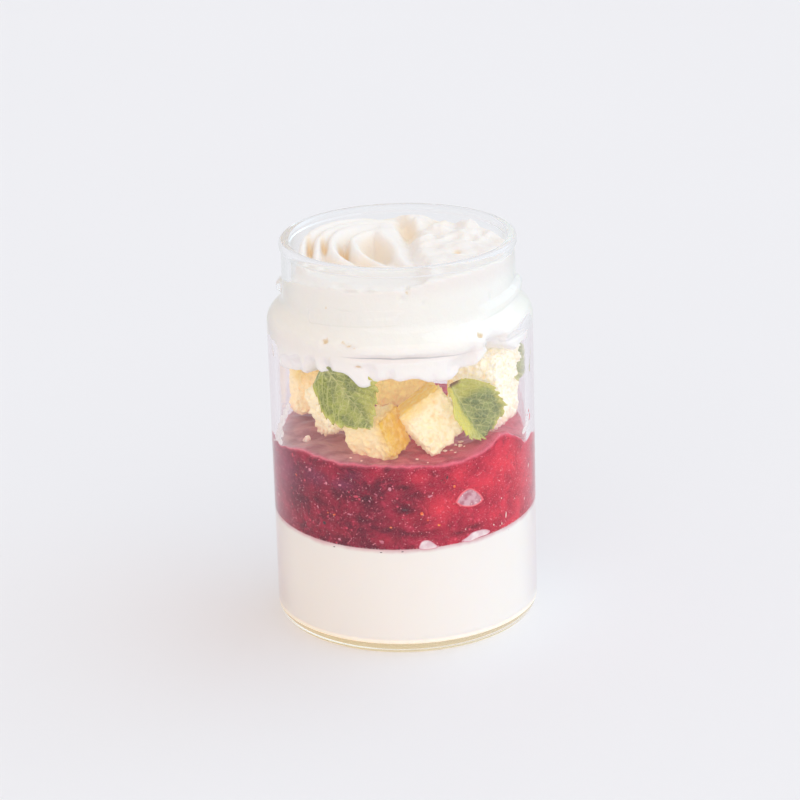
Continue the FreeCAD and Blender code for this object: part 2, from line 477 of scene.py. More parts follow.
def studio_light():
    """Even pale surroundings, a broad soft lamp from the right and behind, and one in front."""
    world = bpy.data.worlds.new("studio")
    bpy.context.scene.world = world
    nodes = Nodes(world, "World Output")
    lit = nodes.add("ShaderNodeBackground", 0, None, [(1.0, 0.952, 0.914, 1), 0.83])
    seen = nodes.add("ShaderNodeBackground", 0, None, [shade(240, 238, 241), 1.0])
    camera_ray, glossy_ray, clear_ray = (
        nodes.add("ShaderNodeLightPath", f"Is {kind} Ray")
        for kind in ("Camera", "Glossy", "Transmission"))
    nodes.feed(nodes.surface,
               nodes.over(camera_ray.at_least(glossy_ray).at_least(clear_ray), lit, seen))

    for name, energy, spread, colour, from_where in (
            ("soft_key", 0.92, 75, (0.5, 0.82, 1.0), (1.0, 0.25, 0.95)),
            ("front_fill", 0.74, 90, (1.0, 0.97, 0.93), (0.15, -1.0, 0.35))):
        bpy.ops.object.light_add(type="SUN")
        lamp = bpy.context.object
        lamp.name = name
        lamp.data.energy = energy
        lamp.data.angle = math.radians(spread)
        lamp.data.color = colour
        lamp.rotation_euler = Vector(from_where).to_track_quat("Z", "Y").to_euler()
    bpy.context.scene.view_settings.view_transform = "Standard"


# ---------------------------------------------------------------- glass jar
def clear_glass():
    """Glass that bends what is seen through it, lets the studio light in, and carries painted light in
    its tint:
    warmer at the foot, faintly pink over the body, and deeper where it is looked along. Light once
    reflected in it leaves it unbent."""
    finish = Finish("clear_glass", Roughness=0.0, IOR=1.5, Transmission_Weight=1.0)
    height = finish.axes(finish.place())[2]
    # Painted light in the tint: warm at the foot and faintly pink over the body, standing in for light
    # from the set cream and the compote.
    body = finish.mix(height.between(1.0, 6.0), (250, 243, 214), (254, 249, 251))
    body = finish.mix(height.between(88.0, 96.0), body, (251, 252, 252))
    facing = finish.add("ShaderNodeLayerWeight", "Facing", None, {"Blend": 0.5})
    # Deeper tint where looked along: partly the longer path through the glass, partly painted compote
    # reflection in the body; grey-green in the neck is the glass's own tint.
    looked_along = facing.between(0.5, 0.95) * height.between(3.0, 9.0)
    deeper = finish.mix(height.between(84.0, 92.0), (216, 194, 202), (208, 213, 207))
    finish.set("Base_Color", finish.mix(looked_along, body, deeper))
    clear = finish.add("ShaderNodeBsdfTransparent", 0)
    surface = Value(finish, finish.shader.outputs[0])
    for kind in ("Shadow", "Diffuse", "Reflection"):
        ray = finish.add("ShaderNodeLightPath", f"Is {kind} Ray")
        surface = finish.over(ray, surface, clear)
    finish.feed(finish.surface, surface)
    return finish


def raise_lugs(jar):
    """Push the neck out into sloping lid lugs with round crests and tapered ends."""
    places = points_of(jar)
    radius = from_axis(places)
    from_x = np.degrees(np.arctan2(places[:, 1], places[:, 0]))
    on_neck = radius > neck_radius - 0.2
    for index in range(lug_count):
        along = (from_x - first_lug - index * 360 / lug_count + 180) % 360 - 180
        middle = lug_height + neck_radius * np.radians(along) * math.tan(math.radians(lug_slope))
        rise = places[:, 2] - middle
        crest = np.sqrt(np.clip(1 - (rise / lug_half_height) ** 2, 0, 1))
        ends = 1 - smooth_step(np.abs(along), lug_half_arc - 4.0, lug_half_arc)
        out = lug_reach * crest * ends * on_neck
        places[:, :2] *= (1 + out / np.maximum(radius, 1.0))[:, None]
    move_points(jar, places)


def glass_jar():
    """The jar in one closed wall: outside up, over the lip, inside down, with four lid lugs."""
    lip_foot = jar_height - lip_height
    lip_radius = neck_radius + lip_reach
    outline = rounded([
        (0, push_up, 0),
        (foot_radius, 0, 2.0),
        (jar_radius, 0, heel_rounding),
        (jar_radius, shoulder_corner, shoulder_rounding),
        (neck_radius, neck_foot, neck_rounding),
        (neck_radius, lip_foot, 0.3),
        (lip_radius, lip_foot + lip_reach, 0.3),
        (lip_radius, jar_height, lip_rounding),
        (mouth, jar_height, lip_rounding),
        (mouth, neck_foot - inner_drop, neck_rounding + wall),
        (bore, shoulder_corner - inner_drop, shoulder_rounding - wall),
        (bore, floor_thickness, inner_corner),
        (floor_edge, floor_thickness, floor_rounding),
        (0, floor_thickness + push_up, 0),
    ], step=9.0)
    jar = spun("clear_jar", divided(outline, 0.5, lug_height - 6, jar_height + 1))
    raise_lugs(jar)
    smooth(jar)
    modified(jar, "WEIGHTED_NORMAL", weight=50)
    painted(jar, clear_glass())
    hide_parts("jar")
    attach(jar, "root")


# ---------------------------------------------------------------- set cream
set_cream_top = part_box("panna_cotta")[1].z / mm - 1.6     # the level at the middle
set_cream_tilt = np.array([0.012, 0.045])                 # rise along x and y


def set_cream_level(places):
    """Height of its top at each place."""
    return set_cream_top + places[:, :2] @ set_cream_tilt


def set_cream():
    """The set cream: fills the jar's round bottom, with a top a little out of level."""
    fill = bore + into_glass
    outline = rounded([
        (0, floor_thickness + push_up - into_glass, 0),
        (floor_edge, floor_thickness - into_glass, floor_rounding),
        (fill, floor_thickness - into_glass, inner_corner),
        (fill, set_cream_top, 0.0),
        (0, set_cream_top, 0),
    ], step=9.0)
    cream = spun("set_cream", divided(outline, 0.6, set_cream_top - 4, set_cream_top + 0.01))
    places = points_of(cream)
    high = smooth_step(places[:, 2], set_cream_top - 6, set_cream_top)
    rise = set_cream_level(places) - set_cream_top + 0.25 * lumps(places, 6.0, 2)
    places[:, 2] += high * rise
    move_points(cream, places)
    keep(cream, "underside", smooth_step(-normals_of(cream)[:, 2], 0.25, 0.75))
    smooth(cream, 60)

    finish = Finish("set_cream", Roughness=0.35, Subsurface_Weight=0.25, Subsurface_Scale=4 * mm,
                    Subsurface_Radius=(1.0, 0.8, 0.55), Specular_IOR_Level=0.25, Emission_Strength=1.0)
    x, y, z = finish.axes(finish.place())
    below = set_cream_top + x * set_cream_tilt[0] + y * set_cream_tilt[1] - z
    wander = finish.cloud(5.0, 3.0) * 1.6 - 0.8
    stain_and_shade = (below + wander).between(0.0, 1.9, 0.6, 0.0)
    # Painted side light: the set cream is darker and warmer to the left, lighter to the right.
    side_light = x.between(-34.0, 34.0)
    body = finish.mix(side_light, (244, 238, 229), (249, 248, 245))
    body = finish.mix(finish.cloud(16.0, 3.0) * 0.5, body, (250, 241, 231))
    speck = finish.cells(2.6).between(0.12, 0.05) * finish.cloud(6.0).between(0.5, 0.6)
    body = finish.mix(speck * below.between(0.3, 2.4, 1.0, 0.0), body, (120, 30, 70))
    finish.set("Base_Color", finish.mix(stain_and_shade, body, (206, 96, 122)))
    # Painted glow: the underside gives off tan light, standing in for light carried through the cream
    # to the jar's base.
    tan = finish.mix(side_light, (0.265, 0.21, 0.115, 1.0), (0.265, 0.24, 0.17, 1.0))
    finish.set("Emission_Color", finish.mix(finish.attribute("underside"), (0.0, 0.0, 0.0, 1.0), tan))
    finish.bump(finish.cloud(1.5, 4.0), 0.03)
    painted(cream, finish)
    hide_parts("panna_cotta")
    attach(cream, "root")


# ---------------------------------------------------------------- berry compote
compote_top = 57.6
into_set_cream = 0.3                    # how far it reaches down into the set cream
compote_mounds = [
    (-24.5, -22.0, 1.0, 7.0),
    (-31.5, -11.5, -1.2, 5.0),
    (8.0, -33.0, -0.8, 6.0),
    (26.0, -22.5, 4.2, 7.0),
    (32.0, -12.5, -2.0, 4.0),
    (33.5, -2.0, -2.4, 7.0),
    (-4.0, 12.0, 1.6, 12.0),
]


def mounded(level, mounds, places):
    """Height at each place of a level that carries soft mounds and hollows."""
    height = np.full(len(places), float(level))
    for x, y, rise, spread in mounds:
        distance = np.hypot(places[:, 0] - x, places[:, 1] - y)
        height += rise * np.exp(-(distance / spread) ** 2)
    return height


def compote_level(places):
    """Height of its top at each place, before the small unevenness."""
    return mounded(compote_top, compote_mounds, places)


# Soft patches seen through the glass, as on_wall takes them. The first are painted glow, where light
# would shine through the pulp.
painted_glow_patches = [
    (16.1, 44.4, 5.0, 3.8, 0.9), (50.7, 53.0, 8.0, 4.0, 0.8), (40.2, 48.3, 7.0, 4.0, 0.65),
    (63.9, 45.5, 6.0, 6.0, 0.6), (6.6, 53.7, 3.0, 1.8, 0.45), (25.0, 53.2, 4.0, 2.6, 0.6),
    (44.1, 38.6, 4.0, 2.0, 0.45), (-10.9, 55.0, 3.0, 1.2, 0.3), (2.1, 41.9, 3.0, 2.0, 0.25),
    (-39.3, 54.4, 3.5, 1.6, 0.25), (-8.6, 35.4, 4.0, 1.2, 0.25), (-29.0, 36.5, 4.0, 1.4, 0.2),
]
dark_patches = [
    (-58.5, 43.0, 4.5, 5.0, 0.6), (-0.7, 51.1, 2.6, 0.9, 0.9), (-0.2, 44.4, 2.4, 0.9, 0.9),
    (-6.8, 38.7, 3.4, 1.0, 0.7), (-18.3, 47.5, 3.2, 1.1, 0.8), (31.7, 36.9, 3.5, 0.9, 0.75),
    (24.0, 35.8, 3.5, 0.9, 0.7), (12.4, 55.0, 1.2, 0.8, 0.5), (-29.7, 48.0, 4.0, 1.4, 0.5),
    (-16.5, 41.2, 5.0, 1.1, 0.45), (5.0, 37.0, 4.0, 1.0, 0.5), (-42.0, 45.0, 4.0, 2.0, 0.4),
    (9.0, 49.0, 3.0, 1.0, 0.35),
]
dusky_patches = [
    (-29.0, 50.9, 3.4, 1.6, 0.7), (-43.7, 51.8, 5.0, 3.0, 0.6), (-66.0, 50.0, 8.0, 6.0, 0.7),
    (-24.0, 54.0, 3.0, 1.2, 0.4),
]


def compote_finish():
    """Deep red pulp with painted side light, shaded to the left and lit towards the right, with painted
    glowing patches, darker patches, flecks and fibres, a pale painted reflection at the jar's left and
    right edges, a painted highlight along the meniscus and a misted top."""
    finish = Finish("berry_compote", Roughness=0.28, Specular_IOR_Level=0.12, Subsurface_Weight=0.1,
                    Subsurface_Scale=3 * mm, Subsurface_Radius=(1.0, 0.2, 0.15))
    place = finish.place()
    lying = finish.stretched(place, (1.0, 1.0, 1.15))
    pulp = finish.cloud(7.0, 5.0, lying, 0.6, 0.5)
    fibre = finish.cloud(2.4, 6.0, place, 0.68, 1.4)
    x = finish.axes(place)[0]
    ragged = 0.3 + fibre * 1.3
    painted_glow = (finish.attribute("painted_glow") * ragged).at_most(1.0)
    dark = (finish.attribute("dark") * ragged).at_most(1.0)
    dusky = finish.attribute("dusky") * ragged
    top = finish.attribute("top")
    # Painted side light: the pulp is shaded to the left and lit towards the right.
    shaded_pulp = finish.mix(pulp.between(0.36, 0.64), (104, 14, 42), (156, 26, 56))
    lit_pulp = finish.mix(pulp.between(0.36, 0.64), (178, 28, 58), (222, 48, 74))
    body = finish.mix(x.between(-8.0, 30.0), shaded_pulp, lit_pulp)
    body = finish.mix(fibre.between(0.52, 0.66, 0.0, 0.5), body, (206, 52, 84))
    body = finish.mix(fibre.between(0.46, 0.34, 0.0, 0.5), body, (88, 8, 34))
    body = finish.mix(dusky, body, (136, 56, 90))
    # Painted glow: bright red where light would shine through the pulp.
    body = finish.mix(painted_glow * 0.85, body, (244, 58, 78))
    body = finish.mix(dark, body, (60, 8, 30))
    # Painted reflection: the pulp turns pale pink towards the jar's left and right edges.
    painted_edge_haze = x.between(-35.6, -28.0, 0.4, 0.0) + x.between(30.0, 35.6, 0.0, 0.4)
    body = finish.mix(painted_edge_haze, body, (208, 104, 128))
    # Painted highlight: a bright pink line where the pulp's top meets the glass.
    brim_highlight = finish.attribute("brim_highlight") * (0.3 + fibre * 1.4)
    body = finish.mix(brim_highlight.at_most(1.0), body, (240, 112, 134))
    for size, light in ((0.9, (244, 140, 156)), (1.9, (220, 76, 100)), (0.55, (240, 130, 146))):
        fleck = finish.cells(size, place=place).between(0.27, 0.13)
        here_and_there = finish.cloud(size * 2.6, 2.0, place).between(0.5, 0.6)
        body = finish.mix(fleck * here_and_there * 0.9, body, light)
    fog = finish.cloud(5.0, 2.0, place, 0.5, 0.4)
    mist = finish.mix(fog.between(0.34, 0.66), (166, 100, 112), (202, 146, 152))
    sheen = finish.mix(fog.between(0.38, 0.62), (178, 58, 80), (214, 96, 114))
    wet = finish.mix(x.between(-24.0, 8.0), mist, sheen)
    finish.set("Base_Color", finish.mix(top * 0.92, body, wet))
    finish.bump(fibre * (1 - top * 0.85), 0.14)
    return finish


def compote():
    """The compote: fills the jar from the set cream to its uneven, lumpy top."""
    fill = bore + into_glass
    low = set_cream_top - into_set_cream
    outline = rounded([
        (0, low, 0),
        (fill, low, 0.0),
        (fill, compote_top, 0.8),
        (0, compote_top, 0),
    ], step=30.0)
    outline = divided(outline, 0.6, low - 1, compote_top + 0.1)
    body = spun("berry_compote", outline, 448)
    places = points_of(body)
    radius = from_axis(places)
    share = smooth_step(places[:, 2], low, compote_top - 4)
    inside = 1 - smooth_step(radius, bore - 3, bore)
    uneven = (0.8 - 0.3 * inside) * lumps(places, 5.5, 2) + 0.22 * (1 - inside) * lumps(places, 1.8, 2)
    top = compote_level(places) + uneven
    bottom = set_cream_level(places) - into_set_cream
    places[:, 2] += share * (top - compote_top) + (1 - share) * (bottom - low)
    move_points(body, places)
    below_top = top - places[:, 2]
    at_wall = smooth_step(radius, bore - 1.0, bore)
    keep(body, "top", smooth_step(normals_of(body)[:, 2], 0.15, 0.6) * (1 - 0.5 * at_wall))
    keep(body, "brim_highlight", np.exp(-((below_top - 0.3) / 0.4) ** 2) * at_wall)
    for name, marks in (("painted_glow", painted_glow_patches), ("dark", dark_patches), ("dusky", dusky_patches)):
        keep(body, name, on_wall(places, marks))
    smooth(body, 70)
    painted(body, compote_finish())
    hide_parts("berry_compote")
    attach(body, "root")


# Seeds, bubbles and specks of pulp against the glass: angle from the front, height, half
# width, half height and lean in degrees.
amber_seeds = [
    (7.0, 43.1, 0.6, 0.7, 20), (14.6, 39.2, 0.45, 0.6, 70), (-6.8, 39.2, 0.5, 0.35, 0),
    (-33.3, 41.4, 0.65, 0.35, 25), (22.2, 50.0, 0.5, 0.6, 35), (-36.7, 41.6, 0.3, 0.35, 0),
    (-56.1, 50.0, 0.3, 0.6, 60), (9.6, 41.0, 0.35, 0.3, 0),
]
dark_seeds = [
    (-38.9, 38.2, 0.75, 0.75, 0), (-0.4, 44.5, 1.2, 0.45, -8), (18.9, 53.0, 0.4, 0.8, -20),
    (0.6, 43.4, 0.5, 0.3, 0), (-18.0, 47.4, 0.55, 0.4, 30), (-7.4, 38.9, 0.4, 0.25, 0),
    (-34.0, 31.6, 0.5, 0.2, 12), (-11.5, 31.6, 0.5, 0.18, 0), (17.4, 51.6, 0.25, 0.3, 0),
    (-2.0, 31.9, 0.5, 0.18, 10),
]
bubbles = [
    (-46.4, 53.2, 0.95, 0.85, 0), (-29.9, 50.7, 0.8, 0.5, 10), (-37.0, 50.4, 0.6, 0.8, 0),
    (-6.7, 50.7, 0.75, 0.9, 10), (-31.1, 34.2, 0.7, 0.6, 0), (-10.9, 34.7, 0.8, 0.9, 20),
    (10.9, 48.1, 1.1, 0.55, 20), (-48.6, 53.6, 0.5, 0.3, 30), (-25.4, 42.3, 1.1, 0.3, -15),
    (-13.0, 49.0, 0.9, 0.35, -35), (-16.0, 46.9, 0.3, 0.7, 35), (-42.3, 42.6, 0.4, 0.8, 25),
]
cream_streaks = [
    (50.4, 37.0, 0.28, 1.6, -6), (47.5, 34.9, 0.22, 0.7, 0), (42.4, 35.5, 0.3, 0.45, 20),
    (71.5, 47.3, 0.3, 1.2, -12), (78.5, 36.5, 0.3, 1.8, 0), (46.4, 48.1, 0.25, 0.2, 0),
    (68.8, 43.4, 0.2, 0.5, 0), (-75.5, 39.8, 0.5, 0.7, 20), (47.6, 42.6, 0.35, 0.3, 0),
    (57.1, 40.6, 0.22, 0.22, 0), (27.1, 36.6, 0.25, 0.25, 0), (66.0, 38.5, 0.2, 0.9, 10),
]
# Cream wiped along the glass above the compote.
cream_smears = [
    (-80.0, 55.6, 1.9, 1.1, 5), (-76.5, 56.4, 2.2, 1.4, 30), (-73.0, 58.6, 2.0, 1.5, 45),
    (-70.0, 61.2, 2.0, 1.5, 50), (-66.8, 64.2, 1.9, 1.4, 55), (-63.6, 67.0, 1.8, 1.2, 55),
    (-60.8, 69.4, 1.3, 0.8, 60), (-71.0, 57.0, 2.0, 1.0, 15), (-68.0, 60.0, 1.4, 1.0, 40),
    (68.0, 59.0, 1.8, 0.8, 20), (71.0, 60.2, 1.6, 1.0, 35), (73.2, 61.6, 0.9, 0.7, 50),
]
red_drips = [(74.6, 61.6, 0.45, 1.1, -12), (73.4, 63.6, 0.3, 0.5, 0), (71.2, 62.8, 0.25, 0.3, 0)]
fleck_count = 3000


def wall_bits(name, drops, colours, depth, detail=2, **plain):
    """One piece made of small drops against the glass, in two mingled colours."""
    places, ball = ball_of(detail)
    piece = joined(name, [copied(ball, on_glass(places, *drop, depth=depth)) for drop in drops])
    bpy.data.objects.remove(ball)
    smooth(piece)
    finish = Finish(name, **plain)
    finish.set("Base_Color", finish.mix(finish.cloud(0.9, 3.0).between(0.38, 0.62), *colours))
    painted(piece, finish)
    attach(piece, "root")


def behind(rng, count, least, most):
    """Drops like those in front, scattered over the side that is turned away."""
    return [(rng.uniform(96, 264), rng.uniform(35.5, 54.0),
             rng.uniform(least, most), rng.uniform(least, most), rng.uniform(-60, 60))
            for _ in range(count)]


def scattered_flecks(rng):
    """Small flecks all round, fewer in front, one in ten nearly twice as large."""
    flecks = []
    while len(flecks) < fleck_count:
        turn = rng.uniform(-180, 180)
        if rng.random() > 0.35 + 0.65 * min(abs(turn), 90) / 90:
            continue
        size = rng.uniform(0.08, 0.2) * (1.9 if rng.random() < 0.1 else 1)
        flecks.append((turn, rng.uniform(33.5, 55.5), size, size * rng.uniform(0.6, 1.8),
                       rng.uniform(-60, 60)))
    return flecks


def fruit_bits():
    """Every kind of drop against the glass: its two colours, how thick it is and its gloss."""
    rng = random.Random(41)
    wall_bits("amber_seeds", amber_seeds + behind(rng, 9, 0.3, 0.6),
              ((236, 84, 34), (250, 160, 84)), 0.24, Roughness=0.35, Specular_IOR_Level=0.4)
    wall_bits("dark_seeds", dark_seeds + behind(rng, 12, 0.25, 0.7),
              ((54, 10, 26), (96, 22, 44)), 0.22, Roughness=0.4)
    # Painted reflection: the bubbles' pale pink stands for light reflected off the air against the
    # glass.
    wall_bits("bubbles", bubbles + behind(rng, 12, 0.4, 0.9),
              ((186, 84, 108), (222, 140, 156)), 0.2, Roughness=0.3)
    wall_bits("cream_streaks", cream_streaks,
              ((250, 224, 214), (255, 243, 236)), 0.2, Roughness=0.5)
    wall_bits("cream_smears", cream_smears,
              ((240, 232, 230), (252, 247, 245)), 0.16, 3, Roughness=0.5)
    wall_bits("red_drips", red_drips, ((214, 40, 66), (240, 84, 100)), 0.2, Roughness=0.3)
    wall_bits("pulp_flecks", scattered_flecks(rng),
              ((240, 140, 152), (255, 228, 220)), 0.19, 1, Roughness=0.4)


# Pockets against the glass, each with the angles from the front and heights of its outline,
# and the colours of its inside and its rim.
wall_pockets = [
    # The air pocket's pale inside is painted reflection of the air gap behind the glass.
    ("air_pocket",
     [(22.4, 45.3), (24.4, 47.1), (27.4, 48.4), (30.0, 48.6), (32.6, 47.6), (35.0, 46.0),
      (36.4, 44.5), (35.2, 43.5), (31.6, 43.0), (27.2, 43.4), (24.2, 44.2)],
     (184, 110, 126), (216, 170, 180), (252, 92, 104)),
    ("cream_notch_front",
     [(5.4, 33.4), (6.4, 34.6), (8.4, 35.1), (10.6, 34.7), (12.4, 33.7), (13.8, 32.6),
      (9.6, 32.3), (5.6, 32.5)],
     (226, 192, 200), (244, 228, 228), (222, 132, 156)),
    ("cream_notch_side",
     [(24.6, 33.3), (27.9, 34.2), (30.2, 35.1), (33.6, 35.3), (37.0, 35.1), (40.0, 34.1),
      (38.5, 33.4), (35.0, 33.3), (31.6, 33.0), (28.3, 32.6)],
     (230, 200, 206), (246, 232, 232), (226, 140, 162)),
]
pocket_rim = 0.42                       # how far a pocket's rim stands into the wall
pocket_dish = 0.16                      # how much less its middle does


def wall_pocket(name, outline, inner, pale, rim):
    """A pocket in the compote, seen against the glass as a pale lens with a wet rim and painted glints.
    """
    centre = np.mean(outline, 0)
    corners = curve_through([(*corner, 0) for corner in outline + outline[:1]], 0.5)[:-1, :2]
    ball, pocket = ball_of(5, name)
    toward = (corners - centre) * np.array([math.radians(bore), 1.0])
    bearing = np.arctan2(toward[:, 1], toward[:, 0])
    order = np.argsort(bearing)
    reach = np.interp(np.arctan2(ball[:, 2], ball[:, 0]), bearing[order],
                      np.hypot(*toward.T)[order], period=2 * math.pi)
    from_middle = np.hypot(ball[:, 0], ball[:, 2])
    dent = 0.04 * lumps(ball * 3.0, 1.6, 3, 4.0) * (1 - from_middle)
    depth = pocket_rim - pocket_dish * (1 - smooth_step(from_middle, 0.72, 0.98)) + dent
    out = bore - depth * np.sign(ball[:, 1])
    angle = math.radians(centre[0]) + ball[:, 0] * reach / bore
    height = centre[1] + ball[:, 2] * reach
    move_points(pocket, np.column_stack([out * np.sin(angle), -out * np.cos(angle), height]))
    keep(pocket, "rim", smooth_step(from_middle, 0.8, 0.95))
    smooth(pocket)
    finish = Finish(name, Roughness=0.18, Specular_IOR_Level=0.5)
    body = finish.mix(finish.cloud(2.2, 4.0).between(0.36, 0.64), inner, pale)
    # Painted glints: small bright specks of reflected light.
    painted_glint = finish.cells(0.9).between(0.3, 0.12) * finish.cloud(1.8).between(0.5, 0.6)
    body = finish.mix(painted_glint, body, (250, 232, 230))
    finish.set("Base_Color", finish.mix(finish.attribute("rim") * 0.8, body, rim))
    painted(pocket, finish)
    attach(pocket, "root")


# ---------------------------------------------------------------- whipped cream
cream_underside = 82.3
cream_mounds = [
    (-31.0, -16.0, -3.2, 8.0),
    (-15.5, -31.0, 1.4, 4.0),
    (-11.0, -33.0, -2.6, 3.6),
    (10.5, -33.0, -1.8, 5.5),
    (24.5, -23.5, 5.2, 8.0),
    (31.0, -12.0, 2.0, 7.0),
    (0.0, 14.0, -3.0, 14.0),
]
cream_level = 110.0                     # about how high the top is
cream_block_top = 114.0                 # height of the plain block that the top is shaped from
shaped_from = 99.0                      # height below which the block keeps its shape

# Crests left by the piping nozzle, from the outermost in, each run from the back round the
# left to the front: points (x, y, height), then how steeply it falls outwards and inwards.
piped_crests = [
    ([(7, 27, 111.2), (-8, 27, 111.4), (-18.5, 20, 112.3), (-25.5, 9.5, 112.1),
      (-27.2, 0, 110.8), (-26.2, -7.5, 108.8), (-23.4, -14, 106.7)], 3.0, 2.6),
    ([(3, 24.4, 111.0), (-9, 22.3, 111.7), (-17.5, 15, 112.4), (-21.8, 6.5, 112.3),
      (-22.9, -1.5, 110.9), (-22.6, -8.5, 108.8), (-20.2, -15.0, 106.7)], 3.0, 2.2),
    ([(0, 20.5, 111.2), (-12, 15.7, 112.3), (-17.4, 8, 112.6), (-18.8, 1, 112.3),
      (-18.3, -5.2, 111.3), (-15.2, -9.8, 110.0), (-9.3, -13.4, 108.5)], 3.4, 1.5),
    ([(-1, 15, 111.3), (-8.2, 11.4, 111.9), (-12.0, 5.4, 112.3), (-12.7, 0, 112.1),
      (-11.2, -6.2, 111.4), (-7.4, -10.3, 110.0), (-3.2, -13.4, 108.7), (1.3, -16, 107.8)], 3.0, 1.9),
    ([(-4.6, 16, 111.6), (-5.0, 10.2, 111.8), (-3.0, 4.5, 111.4), (-1.2, 0.3, 110.7),
      (0.2, -6.3, 109.5), (2, -11, 108.6)], 2.6, 0.9),
]
crest_rounding = 1.5
eased_at_back = 0.62                    # how much less steep the crests' sides are at the back
crest_blend = 0.22                      # how softly one crest runs into the next
at_once = 4000                          # places compared with a crest together, to spare memory
# Hollows scooped into the top: centre, radius across x and y, turn in degrees, depth, and
# how much painted tan shade the cream gets in it.
scooped_hollows = [
    ((-24.9, 2.6), (0.85, 6.0), 4.0, 1.9, 1.0),
    ((-20.8, 1.6), (0.85, 4.6), 6.0, 2.2, 1.0),
    ((-15.3, -1.0), (1.5, 4.4), 6.0, 2.8, 1.0),
    ((-6.4, 1.0), (4.0, 7.0), 18.0, 2.2, 0.4),
    ((-9.6, -11.5), (3.4, 2.6), -35.0, 1.0, 0.4),
    ((3.0, 16.0), (2.6, 9.5), 12.0, 2.6, 0.6),
    ((12.3, 22.0), (4.2, 6.0), -20.0, 2.0, 0.35),
    ((16.6, -7.2), (1.1, 1.4), 0.0, 1.0, 0.8),
    ((-5.5, 28.0), (4.5, 1.6), -8.0, 1.0, 0.5),
]
# Height at which the cream meets the glass, by angle from the front.
cream_meets_glass = [
    (-180, 109.0), (-140, 108.5), (-110, 104.5), (-90, 102.5), (-62, 105.2), (-35, 106.6), (-12, 107.2),
    (2, 106.8), (12, 109.2), (45, 110.2), (95, 110.0), (140, 109.0), (180, 109.0),
]

# Marks on the cream against the glass, as on_wall takes them: painted tan shade, and creases where
# it stands off the wall.
crease_shade_marks = [
    (-35.9, 91.7, 1.1, 0.6, 0.9), (-26.8, 91.9, 1.0, 0.35, 0.6), (-24.0, 91.5, 1.4, 0.3, 0.7),
    (-21.2, 91.1, 0.9, 0.3, 0.6), (-19.1, 86.3, 1.2, 0.45, 0.8), (38.5, 91.7, 1.1, 0.7, 1.0),
    (-39.8, 100.4, 0.8, 0.5, 0.6), (-27.9, 100.2, 1.6, 0.4, 0.5), (-49.6, 99.4, 0.8, 0.8, 0.4),
    (3.5, 106.4, 1.6, 1.2, 0.45), (1.0, 103.4, 1.2, 0.7, 0.4), (-33.0, 88.0, 0.9, 1.6, 0.35),
    (-12.0, 96.2, 4.0, 0.3, 0.3), (22.0, 98.0, 0.8, 0.4, 0.3),
]
cream_creases = [
    (-33.7, 107.3, 1.6, 0.5, 0.7), (-25.2, 106.2, 2.2, 0.4, 0.7), (-16.0, 106.6, 2.6, 0.4, 0.7),
    (3.5, 107.6, 0.7, 2.4, 0.8), (1.6, 104.6, 1.0, 0.8, 0.6), (-36.0, 91.7, 1.1, 0.6, 0.8),
    (-24.0, 91.4, 2.6, 0.4, 0.7), (38.5, 91.7, 1.1, 0.8, 0.9), (-19.1, 86.3, 1.2, 0.5, 0.9),
    (-30.0, 100.2, 2.4, 0.4, 0.5), (52.0, 101.0, 0.6, 1.6, 0.4), (12.0, 103.0, 0.5, 0.5, 0.4),
    (-9.0, 88.7, 6.0, 0.7, 1.7), (4.0, 88.7, 7.0, 0.7, 1.9), (16.0, 88.6, 5.0, 0.6, 1.2),
    (62.0, 88.8, 6.0, 0.7, 1.6), (72.0, 89.6, 4.0, 0.8, 1.6), (46.0, 88.6, 5.0, 0.6, 1.0),
]
shade_line_height = 88.6                    # height of a painted grey shade line along the glass's shoulder


def cream_finish():
    """Off-white with painted light: shaded and warmer to the left, darker on top, painted tan shade and
    a warm painted emission in the hollows, a cool painted emission low down, painted tan shade at the
    creases and a painted grey shade line.
    """
    finish = Finish("whipped_cream", Roughness=0.42, Specular_IOR_Level=0.3,
                    Subsurface_Weight=0.2, Subsurface_Scale=2.5 * mm,
                    Subsurface_Radius=(1.0, 0.75, 0.5), Emission_Strength=1.0)
    place = finish.place()
    x, y, z = finish.axes(place)
    # Painted side light: the cream is darker and warmer to the left.
    side_light = x.between(-34.0, 30.0)
    tone = finish.mix(side_light, (243, 238, 232), (249, 248, 246))
    tone = finish.mix(finish.cloud(9.0, 3.0, place) * 0.6, tone, (246, 240, 232))
    # Painted shade: the top is darker, offsetting the lamp that falls on it.
    tone = finish.mix(z.between(103.0, 108.0), tone, (243, 237, 234))
    # Painted shade and glow in the hollows: a tan colour and a warm emission where the crests shade and
    # light each other.
    hollow = finish.attribute("hollow")
    tone = finish.mix(hollow, tone, (242, 216, 178))
    painted_glow = finish.mix(hollow.between(0.4, 1.0), (0.0, 0.0, 0.0, 1.0), (0.045, 0.025, 0.01, 1.0))
    # Painted glow: the lower cream, below the shoulder, gives off a faint cool light.
    finish.set("Emission_Color", finish.mix(z.between(90.0, 84.0), painted_glow, (0.03, 0.045, 0.055, 1.0)))
    # Painted shade: a thin grey line along the shoulder of the glass.
    on_line = (z + x * 0.012 - shade_line_height).size().between(0.24, 0.05)
    at_middle = x.between(-18.0, -10.0) * x.between(24.0, 8.0)
    shade_line = on_line * (at_middle + x.between(20.0, 30.0, 0.0, 0.5)) * y.between(0.0, -6.0, 0.0, 0.8)
    tone = finish.mix(shade_line, tone, (190, 188, 192))
    # Painted shade: tan at the creases where the cream stands off the glass.
    stain_and_shade = (finish.attribute("stain_and_shade") + finish.cloud(0.8, 4.0, place, 0.65) * 0.9).between(0.75, 1.15)
    finish.set("Base_Color", finish.mix(stain_and_shade, tone, (230, 204, 162)))
    finish.bump(finish.cloud(0.7, 4.0, place, 0.6) * 0.35 + finish.cloud(4.0, 3.0, place), 0.32)
    return finish


